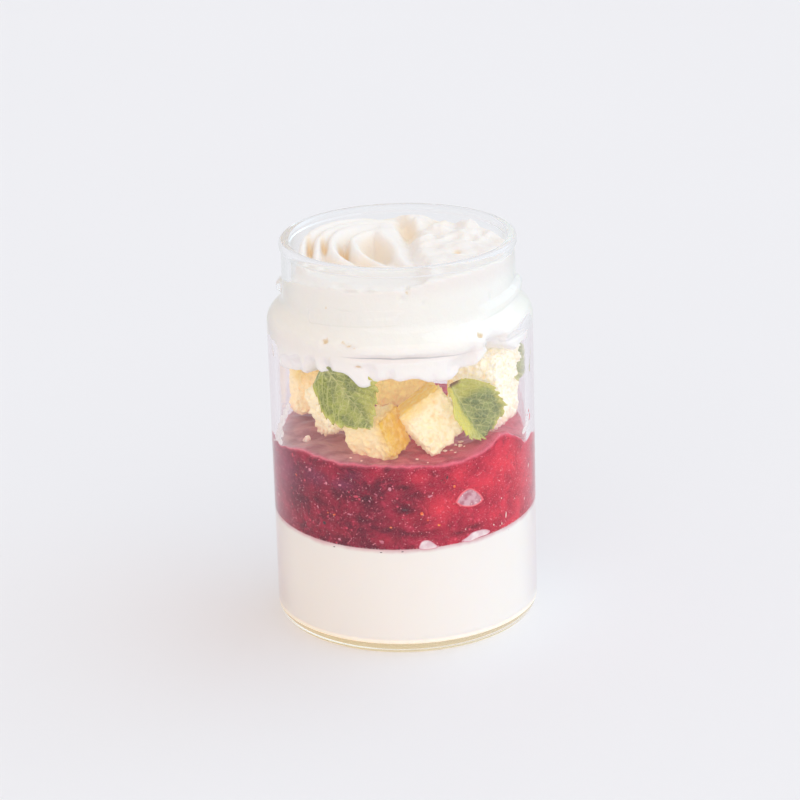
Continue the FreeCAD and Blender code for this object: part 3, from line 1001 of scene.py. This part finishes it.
def crest_height(flat, crest):
    """Height over each flat place of one piped crest and its two sides."""
    points, outward_fall, inward_fall = crest
    line = curve_through(points)
    way = np.gradient(line[:, :2], axis=0)
    heights = np.empty(len(flat))
    for start in range(0, len(flat), at_once):
        part = flat[start:start + at_once]
        apart = part[:, None, :] - line[None, :, :2]
        distance = np.hypot(apart[..., 0], apart[..., 1])
        near = distance.argmin(1)
        rows = np.arange(len(part))
        side = way[near, 0] * apart[rows, near, 1] - way[near, 1] * apart[rows, near, 0]
        fall = np.where(side > 0, inward_fall, outward_fall)
        fall = fall * (1 - eased_at_back * smooth_step(part[:, 1], 3.0, 14.0))
        away = np.hypot(distance[rows, near], crest_rounding) - crest_rounding
        heights[start:start + at_once] = line[near, 2] - fall * away
    return heights


def hollow_shape(flat, hollow):
    """How far into one scooped hollow each flat place is: 0 outside to 1 in its middle."""
    centre, (half_x, half_y), turn = hollow[:3]
    turn = math.radians(turn)
    apart = flat - np.array(centre)
    across = (apart[:, 0] * math.cos(turn) + apart[:, 1] * math.sin(turn)) / half_x
    along = (apart[:, 1] * math.cos(turn) - apart[:, 0] * math.sin(turn)) / half_y
    return np.exp(-(across ** 2 + along ** 2) ** 1.5)


def piped_top(places):
    """Height of the cream's left side: crests that stand in a shallow bowl."""
    x, y = places[:, 0], places[:, 1]
    bowl = 107.2 + 0.085 * np.hypot(x + 6.6, (y - 3.5) * 0.75) ** 2
    bed = np.minimum(bowl, 107.0 - 0.02 * y)
    heights = [bed] + [crest_height(places[:, :2], crest) for crest in piped_crests]
    highest = sum(np.exp((height - cream_level) / crest_blend) for height in heights)
    return cream_level + crest_blend * np.log(highest) + 0.16 * lumps(places, 3.0, 3)


def rough_top(places):
    """Height of its right side: torn peaks and dips that grow towards the back."""
    y = places[:, 1]
    coarse = lumps(places, 7.5, 2, 3.0)
    torn = 1 - np.abs(lumps(places, 6.5, 2, 9.0)) * 2
    back = smooth_step(y, -8, 10)
    rough = cream_level + 0.3 + (0.5 + 1.2 * back) * coarse + (0.35 + 0.75 * back) * torn
    rough += 0.22 * lumps(places, 1.5, 3) + 0.8 * smooth_step(y, 2, 22) - 0.5 * smooth_step(-y, 0, 20)
    return rough


def cream_top(flat):
    """Height of the cream's top: piped on the left, rough on the right, and drawn up or down
    to where it meets the glass."""
    x, y = flat[:, 0], flat[:, 1]
    solid = np.column_stack([x, y, 0 * x])
    border = x + 0.12 * y + 2.0 * lumps(solid, 6.0, 2, 5.0)
    share = smooth_step(border, 2.0, 6.5)
    top = piped_top(solid) * (1 - share) + rough_top(solid) * share
    for hollow in scooped_hollows:
        top -= hollow[3] * hollow_shape(flat, hollow)
    angles, contact = zip(*cream_meets_glass)
    radius = from_axis(flat)
    meets = np.interp(from_front(flat), angles, contact) + 0.5 * lumps(solid, 4.0, 3, 2.0)
    near_glass = smooth_step(radius, mouth - 3.2, mouth)
    return top + near_glass * np.minimum(meets - top, 0.6)


def cream_block():
    """A plain body that fills the shoulder and neck, with the ragged underside of the cream."""
    fill = bore + into_glass
    neck_fill = mouth + into_glass
    corner_lift = 0.1                   # keeps its reach into the glass even round the shoulder
    outline = rounded([
        (0, cream_underside, 0),
        (fill, cream_underside, 1.6),
        (fill, shoulder_corner - inner_drop + corner_lift, shoulder_rounding - wall),
        (neck_fill, neck_foot - inner_drop + corner_lift, neck_rounding + wall),
        (neck_fill, cream_block_top, 0),
        (0, cream_block_top, 0),
    ], step=12.0)
    outline = divided(outline, 0.7, cream_underside - 1, cream_block_top - 0.1)
    block = spun("whipped_cream", outline, 320)
    places = points_of(block)
    low = 1 - smooth_step(places[:, 2], cream_underside, cream_underside + 6)
    under = mounded(cream_underside, cream_mounds, places)
    under += 1.2 * lumps(places, 5.0, 3) + 0.4 * lumps(places, 2.2, 2)
    places[:, 2] += low * (under - cream_underside)
    radius = from_axis(places)
    loose = smooth_step(lumps(places * (1, 1, 0.45), 7.0, 2, 6.0), -0.05, 0.4)
    near_foot = 1 - smooth_step(places[:, 2] - under, 1.5, 6.5)
    inward = 2.6 * loose * near_foot * smooth_step(radius, 24, 34)
    places[:, :2] *= (1 - inward / np.maximum(radius, 1.0))[:, None]
    move_points(block, places)
    return block


def painted_hollow_shade(places, normals):
    """How much painted tan shade each point gets: places sunk between the crests, and the scooped
    hollows.
    """
    tan = np.zeros(len(places))
    upper = (places[:, 2] > shaped_from + 2) & (normals[:, 2] > 0.02)
    flat = places[upper, :2]
    around = [cream_top(flat + np.array(step)) for step in ((2.0, 0), (-2.0, 0), (0, 2.0), (0, -2.0))]
    depth = np.sort(around, axis=0)[2:].mean(0) - places[upper, 2]
    tan[upper] = smooth_step(depth, 0.3, 2.2) * (0.3 - 0.2 * smooth_step(flat[:, 0], 1.0, 5.0))
    for hollow in scooped_hollows:
        tan[upper] = np.maximum(tan[upper], hollow[4] * hollow_shape(flat, hollow))
    return tan * (1 - smooth_step(from_axis(places), mouth - 3.0, mouth - 1.2))


def whipped_cream():
    """The cream: a block shaped from above, meshed evenly, with tan light in its hollows."""
    cream = cream_block()
    modified(cream, "REMESH", mode="VOXEL", voxel_size=0.6 * mm)
    places = points_of(cream)
    high = places[:, 2] > shaped_from
    top = cream_top(places[high, :2])
    share = (places[high, 2] - shaped_from) / (cream_block_top - shaped_from)
    places[high, 2] = shaped_from + share * (top - shaped_from)
    move_points(cream, places)
    modified(cream, "REMESH", mode="VOXEL", voxel_size=0.5 * mm)
    modified(cream, "SMOOTH", factor=0.5, iterations=1)
    places = points_of(cream)
    dents = 0.8 * on_wall(places, cream_creases, 1.5)
    move_points(cream, places - normals_of(cream) * dents[:, None])
    keep(cream, "hollow", painted_hollow_shade(places, normals_of(cream)))
    keep(cream, "stain_and_shade", on_wall(places, crease_shade_marks, 1.5))
    smooth(cream)
    painted(cream, cream_finish())
    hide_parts("whipped_cream")
    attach(cream, "root")


# ---------------------------------------------------------------- sponge cubes
# For each cube: the way that its browned crust faces, how brown that crust is, how pink its
# foot is from the compote, and the colour of its crumb.
sponge_looks = [
    ((-0.3, -0.2, 0.93), 0.35, 0.5, (252, 230, 186)),
    ((0.75, -0.35, 0.56), 0.45, 0.35, (255, 244, 208)),
    ((0.84, -0.54, 0.2), 0.8, 0.6, (250, 230, 182)),
    ((0.9, 0.1, 0.4), 0.8, 0.3, (255, 236, 172)),
    ((-0.6, 0.0, 0.8), 0.45, 0.3, (252, 240, 204)),
    ((-0.9, 0.3, 0.3), 0.2, 0.35, (255, 252, 236)),
]
# Pores of two sizes: millimetres across, depth, and the share of them that is left out.
pore_sizes = [(2.4, 1.0, 0.3), (1.3, 0.75, 0.25)]


def sponge_finish(name, brown, stain_and_shade, crumb_colour):
    """Pale crumb with painted shade in its pores and pits, a golden crust, a foot stained by the
    compote and a painted emission of its own colour.
    """
    finish = Finish(name, Roughness=0.8, Specular_IOR_Level=0.2,
                    Subsurface_Weight=0.12, Subsurface_Scale=1.5 * mm,
                    Subsurface_Radius=(1.0, 0.7, 0.35), Emission_Strength=0.27)
    place = finish.place()
    crust = finish.attribute("crust")
    grain = finish.cloud(1.1, 4.0, place).between(0.42, 0.7, 0.0, 0.4)
    crumb = finish.mix(grain, crumb_colour, (248, 218, 150))
    # Painted shade: the small pits are darker and more golden.
    pit = finish.cells(0.7, place=place).between(0.3, 0.12)
    pit = pit * finish.cloud(1.7, 3.0, place).between(0.48, 0.58)
    crumb = finish.mix(pit * 0.45, crumb, (240, 198, 130))
    mottle = finish.cloud(2.4, 5.0, place, 0.65).between(0.36, 0.64)
    skin = finish.mix(brown, (252, 222, 130),
                      finish.mix(mottle, (224, 178, 24), (208, 150, 12)))
    patchy = finish.cloud(2.0, 5.0, place, 0.7).between(0.3, 0.6, 0.55, 1.0)
    colour = finish.mix(crust * patchy, crumb, skin)
    # Painted shade: the pores are darker and more golden.
    colour = finish.mix(finish.attribute("pore") * 0.45, colour, (234, 184, 108))
    soaked = finish.cloud(2.0, 3.0, place).between(0.4, 0.6)
    rosy = finish.mix(soaked, (236, 160, 140), (206, 90, 92))
    colour = finish.mix(finish.attribute("foot") * stain_and_shade, colour, rosy)
    finish.set("Base_Color", colour)
    # Painted glow: the sponge gives off a little of its own colour as light.
    finish.set("Emission_Color", colour)
    finish.bump(finish.cloud(0.45, 4.0, place, 0.7) - pit * (1 - crust) * 0.8, 0.3)
    return finish


def face_ways(normals):
    """The three directions that a cube's faces look in, as columns: the commonest normals."""
    found = []
    for _ in range(3):
        free = np.ones(len(normals), bool)
        for way in found:
            free &= np.abs(normals @ way) < 0.3
        rest = normals[free]
        sample = rest[:: max(1, len(rest) // 400)]
        alike = (np.abs(sample @ sample.T) > 0.995).sum(1)
        found.append(sample[alike.argmax()])
    return np.array(found).T


def pores_and_grains(places, shift):
    """Two sizes of pore, 0 to 1 at each place, and the swell of the grains between them."""
    pores = np.zeros(len(places))
    grains = np.zeros(len(places))
    for size, depth, sparse in pore_sizes:
        for index, place in enumerate(places):
            near, centres = noise.voronoi(Vector(place / size + shift))
            grains[index] = 0.5 - near[0]
            if noise.cell(centres[0] * 3.1) > sparse:
                pores[index] = max(pores[index], depth * (1 - near[0] / 0.45))
    return np.clip(pores, 0, 1), grains


def even_copy(name, node):
    """A copy of a node's solid, meshed evenly."""
    cube = bpy.data.objects.new(name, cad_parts[node].data.copy())
    bpy.context.scene.collection.objects.link(cube)
    only(cube)
    bpy.ops.object.mode_set(mode="EDIT")
    bpy.ops.mesh.select_all(action="SELECT")
    bpy.ops.mesh.remove_doubles(threshold=0.01 * mm)
    bpy.ops.object.mode_set(mode="OBJECT")
    modified(cube, "REMESH", mode="VOXEL", voxel_size=0.36 * mm)
    return cube


def sponge_cube(number, crust_way, brown, stain_and_shade, crumb_colour):
    """A cube of sponge: an evenly meshed copy of its solid with crumb, pores and a crust."""
    cube = even_copy(f"sponge_{number}", f"sponge_cube_{number}")
    places = points_of(cube)
    normals = normals_of(cube)
    way = np.array(Vector(crust_way).normalized())
    facing = normals @ way
    toward = (places - places.mean(0)) @ way
    skin = smooth_step(facing, 0.5, 0.85)
    under_crust = 0.75 * smooth_step(toward / toward.max(), 0.45, 0.95) * (facing > -0.5)
    rough = 1 - 0.75 * skin
    shift = 7.3 * number                # another part of the noise for each cube
    crumbling = lumps(places, 1.3, 4, shift)
    pores, grains = pores_and_grains(places, shift)
    at_edge = 1 - smooth_step(np.abs(normals @ face_ways(normals)).max(1), 0.86, 0.97)
    bitten = at_edge * np.clip(0.35 + 1.6 * lumps(places, 1.4, 3, shift + 3.0), 0, 1.4)
    out = (0.8 * crumbling + 0.7 * grains - 0.9 * pores) * rough
    out += 0.4 * lumps(places, 4.0, 2, shift) - 0.95 * bitten
    move_points(cube, places + normals * out[:, None])
    low = places[:, 2].min()
    foot = 1 - smooth_step(places[:, 2] + 1.6 * crumbling, low + 0.5, low + 5.0)
    keep(cube, "crust", np.maximum(skin, under_crust))
    keep(cube, "pore", pores * rough)
    keep(cube, "foot", foot)
    smooth(cube)
    painted(cube, sponge_finish(f"sponge_{number}", brown, stain_and_shade, crumb_colour))
    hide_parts(f"sponge_cube_{number}")
    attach(cube, "root")


# Where crumbs lie: x, y, spread, how many and how large.
crumb_spots = [
    (13.0, -25.0, 2.0, 3, 0.6), (15.0, -20.8, 2.0, 3, 0.8), (5.1, -32.0, 2.0, 3, 0.6),
    (17.0, -26.2, 3.5, 2, 0.4), (-27.7, -11.0, 0.8, 2, 1.3), (-12.0, -28.0, 3.0, 2, 0.4),
]


def crumbs():
    """Crumbs of sponge scattered on the compote, one piece."""
    rng = random.Random(17)
    ball, original = ball_of(2)
    pieces = []
    for x, y, spread, count, largest in crumb_spots:
        for _ in range(count):
            place = np.array([[rng.gauss(x, spread / 2), rng.gauss(y, spread / 2), 0.0]])
            size = largest * rng.uniform(0.4, 1.0)
            if np.hypot(*place[0, :2]) > bore - 1.0:
                continue
            form = np.array([rng.uniform(0.7, 1.4), rng.uniform(0.7, 1.3), rng.uniform(0.5, 0.9)])
            crumb = ball * size * form
            crumb *= (1 + 0.8 * lumps(crumb + rng.uniform(0, 90), size * 0.8, 2))[:, None]
            crumb += place
            crumb[:, 2] += compote_level(place)[0] + size * 0.25
            pieces.append(copied(original, crumb))
    piece = joined("crumbs", pieces)
    bpy.data.objects.remove(original)
    smooth(piece)
    finish = Finish("crumbs", Roughness=0.85, Specular_IOR_Level=0.2, Emission_Strength=0.16)
    mottle = finish.cloud(1.2, 3.0).between(0.35, 0.65)
    colour = finish.mix(mottle, (255, 244, 226), (246, 206, 190))
    finish.set("Base_Color", colour)
    # Painted glow: the crumbs give off a little of their own colour as light.
    finish.set("Emission_Color", colour)
    finish.bump(finish.cloud(0.4, 3.0), 0.15)
    painted(piece, finish)
    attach(piece, "root")


# ---------------------------------------------------------------- mint leaves
leaf_thickness = 0.35
leaf_parts = np.linspace(0, 1, 11)      # from the tip to the stem, and the half width there
leaf_widths = [0.0, 0.34, 0.66, 0.90, 0.99, 1.0, 0.97, 0.90, 0.78, 0.62, 0.30]
# For each leaf: (length, width, teeth on a side, fold), tip, way to the stem, way it faces,
# distance between side veins, and (dark, middle, light) greens.
mint_leaves = [
    ((26.0, 19.5, 10, 0.34), (-8.6, -31.2, 68.1), (-11.2, 3.5, 15.2), (-0.4, -1.0, 0.3), 2.7,
     ((108, 120, 44), (162, 168, 70), (208, 200, 84))),
    ((18.5, 16.5, 9, 0.70), (22.0, -22.8, 60.2), (-8.8, 1.0, 16.0), (1.0, -1.0, 0.15), 2.4,
     ((110, 126, 74), (146, 158, 92), (222, 214, 96))),
    ((11.0, 6.5, 4, 0.25), (32.3, -9.0, 73.0), (-0.6, 2.0, 9.0), (0.2, -1.0, 0.1), 2.0,
     ((130, 142, 86), (166, 172, 104), (206, 204, 130))),
]


def mint_finish(name, dark, middle, light):
    """Two greens in soft patches, a lit green, a pale net of veins and a brown cut stem."""
    finish = Finish(name, Roughness=0.5, Specular_IOR_Level=0.3,
                    Subsurface_Weight=0.1, Subsurface_Scale=1.0 * mm,
                    Subsurface_Radius=(0.6, 1.0, 0.2), Emission_Strength=0.07)
    place = finish.place()
    net = finish.cells(1.6, "DISTANCE_TO_EDGE", place).between(0.09, 0.0, 0.0, 0.6)
    fine = finish.cells(0.7, "DISTANCE_TO_EDGE", place).between(0.1, 0.0, 0.0, 0.3)
    blade = finish.mix(finish.cloud(3.5, 4.0, place).between(0.36, 0.64), dark, middle)
    blade = finish.mix(finish.attribute("light"), blade, light)
    veins = finish.attribute("vein").at_least(net).at_least(fine)
    colour = finish.mix(veins * 0.9, blade, (218, 216, 150))
    colour = finish.mix(finish.attribute("stem"), colour, (126, 92, 62))
    finish.set("Base_Color", colour)
    # Painted glow: the leaf gives off a little of its own colour as light.
    finish.set("Emission_Color", colour)
    finish.bump(net * -1.0 + finish.cloud(0.5, 3.0, place) * 0.4, 0.12)
    return finish


def leaf_outline(part, side, length, width, teeth):
    """How far along and across a leaf's saw-toothed blade each point lies."""
    half = width / 2 * np.interp(part, leaf_parts, leaf_widths)
    half = np.maximum(half, 0.55 * smooth_step(part, 0.5, 1.0))
    tooth = 1.0 - (part * (teeth + 0.6)) % 1.0
    edge = np.abs(side)
    taper = np.sin(np.pi * np.clip(part, 0, 1)) ** 0.5
    reach = half + 1.0 * (tooth - 0.4) * edge ** 4 * taper
    return part * length - 0.8 * tooth * edge ** 4, side * reach


def leaf_veins(part, side, along, from_rib, half_width, vein_gap):
    """Strength of the side veins and of the midrib, and the swell of the blade between them."""
    beat = (along + 0.8 * from_rib + 0.04 * from_rib ** 2) / vein_gap + 0.35 * (side > 0)
    from_vein = np.abs(beat - np.round(beat)) * vein_gap
    side_vein = np.exp(-(from_vein / 0.27) ** 2) * (1 - 0.3 * from_rib / half_width)
    midrib = np.exp(-(from_rib / (0.3 + 0.3 * part)) ** 2)
    between_veins = np.clip(from_vein / vein_gap * 2, 0, 1)
    pucker = 0.5 * np.sin(np.pi / 2 * between_veins) * smooth_step(from_rib, 0.3, 2.0)
    return side_vein, midrib, pucker


def leaf_limit(number, part, side):
    """How far from Z a leaf may reach. The first is tucked in behind the cream."""
    limit = np.full(len(part), bore - 0.25)
    if number == 1:
        tucked_side = smooth_step(-side, 0.0, 0.5) * smooth_step(part, 0.42, 0.56)
        limit -= 3.4 * smooth_step(part, 0.72, 0.9) + 3.2 * tucked_side
    return limit


def leaf_light(number, part, side, from_rib):
    """How light each point is, and how much of it is brown cut stem. The first leaf is lit
    beside its tip. The second has one half turned to the light, and shows its stem."""
    light = 0.7 * smooth_step(np.abs(side), 0.8, 1.0)
    stem = np.zeros(len(part))
    if number == 1:
        lit_side = smooth_step(-side, 0.0, 1.0) * (1 - smooth_step(part, 0.1, 0.5))
        light = np.maximum(light, 0.7 * lit_side)
    if number == 2:
        lit_half = smooth_step(side, 0.05, 0.5) * (0.35 + 0.6 * smooth_step(part, 0.1, 0.4))
        light = np.maximum(light, np.maximum(lit_half, 0.55 * smooth_step(part, 0.62, 0.78)))
        stem = smooth_step(part, 0.93, 0.985) * (1 - smooth_step(from_rib, 1.4, 2.4))
    return light, stem


def mint_leaf(number, form, tip, stem_way, face_way, vein_gap, greens):
    """A toothed leaf, folded along its midrib, with grooved veins and a puckered blade."""
    length, width, teeth, fold = form
    bpy.ops.object.select_all(action="DESELECT")
    bpy.ops.mesh.primitive_grid_add(x_subdivisions=170, y_subdivisions=110, size=mm)
    leaf = named(f"mint_{number}")
    places = points_of(leaf)
    part = places[:, 0] + 0.5           # 0 at the tip to 1 at the stem
    side = places[:, 1] * 2             # -1 at one edge to 1 at the other
    along, across = leaf_outline(part, side, length, width, teeth)
    from_rib = np.abs(across)
    side_vein, midrib, pucker = leaf_veins(part, side, along, from_rib, width / 2, vein_gap)
    flat = np.column_stack([along, across, np.full(len(along), 5.0 * number)])
    wave = 0.7 * np.sin(along * 0.8 + 2 * side) * side ** 2 + 0.5 * lumps(flat, 3.0, 3)
    folded = fold * (np.hypot(across, 1.0) - 1.0)
    arched = 0.006 * (along - length / 2) ** 2
    rise = folded + arched + pucker + wave - 0.35 * midrib
    lengthwise = Vector(stem_way).normalized()
    sideways = Vector(face_way).cross(lengthwise).normalized()
    upward = lengthwise.cross(sideways)
    leaf_axes = np.array([lengthwise, sideways, upward])
    placed = np.array(tip) + np.stack([along, across, rise], 1) @ leaf_axes
    kept_in = np.minimum(1, leaf_limit(number, part, side) / from_axis(placed))
    placed[:, :2] *= kept_in[:, None]
    move_points(leaf, placed)
    light, stem = leaf_light(number, part, side, from_rib)
    keep(leaf, "vein", np.maximum(side_vein * 0.95, midrib))
    keep(leaf, "light", light)
    keep(leaf, "stem", stem)
    modified(leaf, "SOLIDIFY", thickness=leaf_thickness * mm, offset=1.0)
    smooth(leaf, 60)
    painted(leaf, mint_finish(f"mint_{number}", *greens))
    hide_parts(f"mint_leaf_{number}")
    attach(leaf, "root")


# ---------------------------------------------------------------- the dessert
camera()
floor()
studio_light()
glass_jar()
set_cream()
compote()
fruit_bits()
for pocket in wall_pockets:
    wall_pocket(*pocket)
whipped_cream()
for number, look in enumerate(sponge_looks, 1):
    sponge_cube(number, *look)
crumbs()
for number, leaf in enumerate(mint_leaves, 1):
    mint_leaf(number, *leaf)
